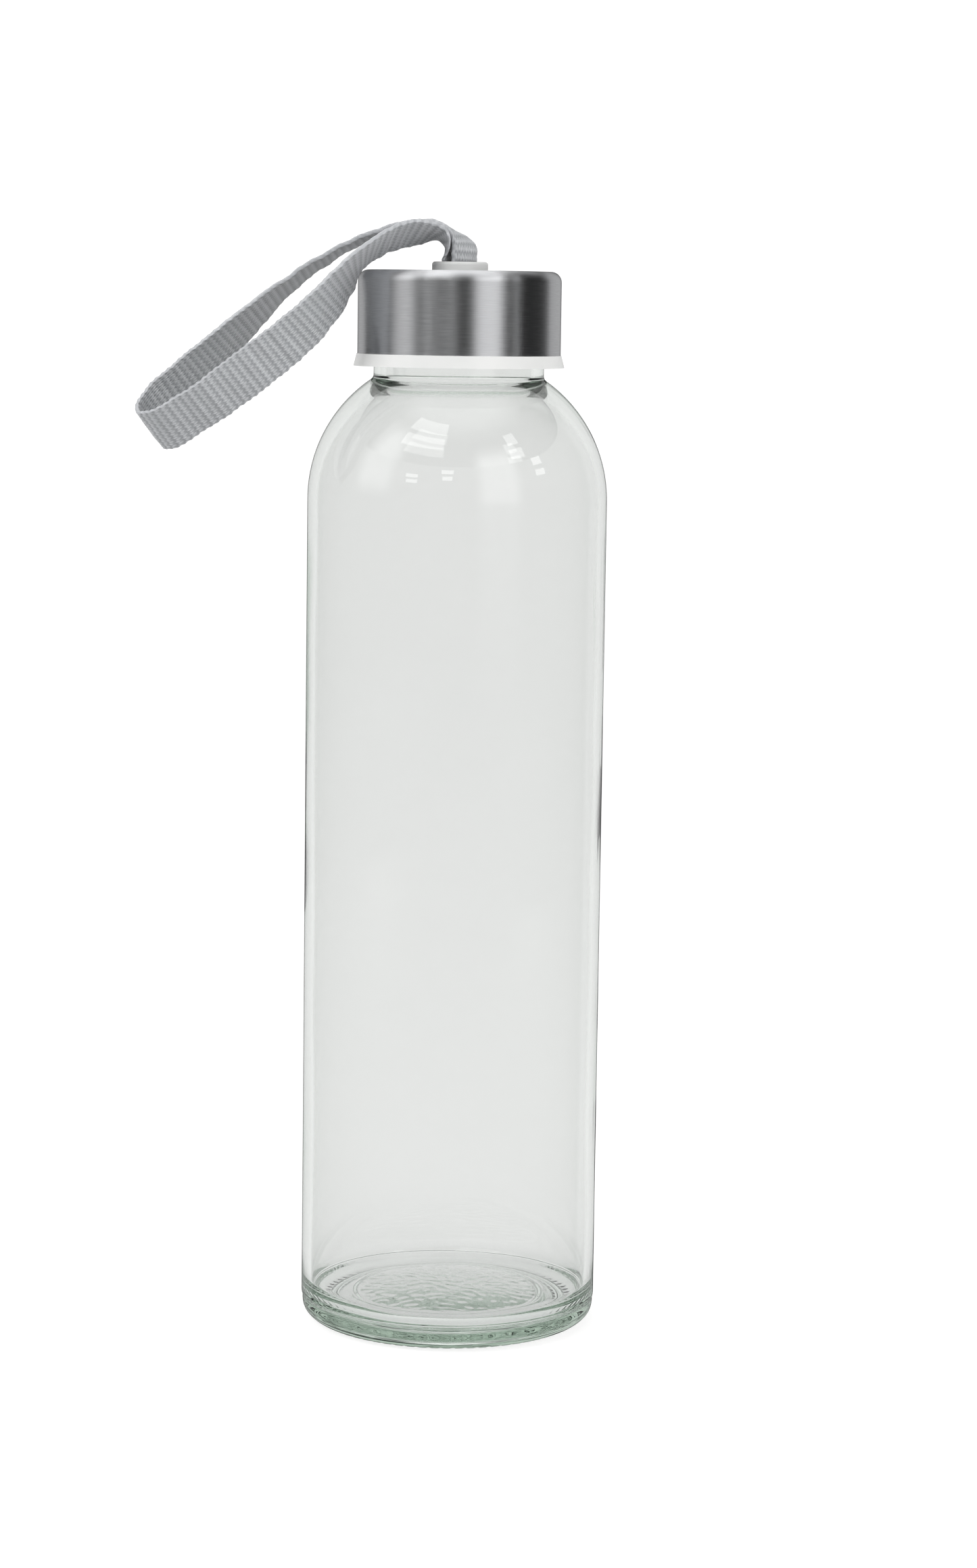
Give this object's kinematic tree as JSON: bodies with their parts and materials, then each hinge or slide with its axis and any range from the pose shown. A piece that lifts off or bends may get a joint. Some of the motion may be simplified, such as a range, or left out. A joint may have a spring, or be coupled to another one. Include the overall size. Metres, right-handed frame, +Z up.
{
  "type": "glass water bottle",
  "caption": "Tall round clear glass water bottle with a domed shoulder, a brushed steel screw cap over a white liner, and a grey webbing carry strap from the cap.",
  "frame": {"origin": "middle of the base's resting ring, on the surface that the bottle stands on", "axes": "+Z up along the bottle's axis; the carry strap hangs towards -X, and +Y is the side away from the viewer who has the strap on the left"},
  "size_m": [0.0973, 0.062, 0.2306],
  "materials": {
    "clear_glass": "polished, faint green tint",
    "brushed_steel": "brushed round the cap",
    "white_plastic": "satin moulded",
    "clear_silicone": "matt silicone",
    "crimp_steel": "pressed strip",
    "grey_webbing": "ribbed polyester webbing"
  },
  "bodies": {
    "bottle": {"glass_bottle": "clear_glass"},
    "seal": {"sealing_gasket": "clear_silicone"},
    "cap": {"cap_shell": "brushed_steel", "cap_liner": "white_plastic", "strap_grommet": "white_plastic", "grommet_retainer": "white_plastic", "strap_crimp": "crimp_steel", "strap_tail": "grey_webbing", "strap_bend": "grey_webbing"},
    "strap": {"strap_loop": "grey_webbing"}
  },
  "joints": [
    {"name": "cap_rise", "type": "slide", "parent": "bottle", "child": "seal", "axis": [0, 0, 1], "range_m": [0, 0.0212]},
    {"name": "cap_turn", "type": "hinge", "parent": "seal", "child": "cap", "pos_m": [0, 0, 0.2116], "axis": [0, 0, 1], "range_deg": [0, 1800]},
    {"name": "strap_swing", "type": "hinge", "parent": "cap", "child": "strap", "pos_m": [-0.0045, 0, 0.2285], "axis": [0, 1, 0], "range_deg": [0, 110], "deforming": ["strap_bend"]}
  ],
  "couplings": [
    {"joint": "cap_rise", "follows": "cap_turn", "m_per_rad": 0.00066845}
  ]
}
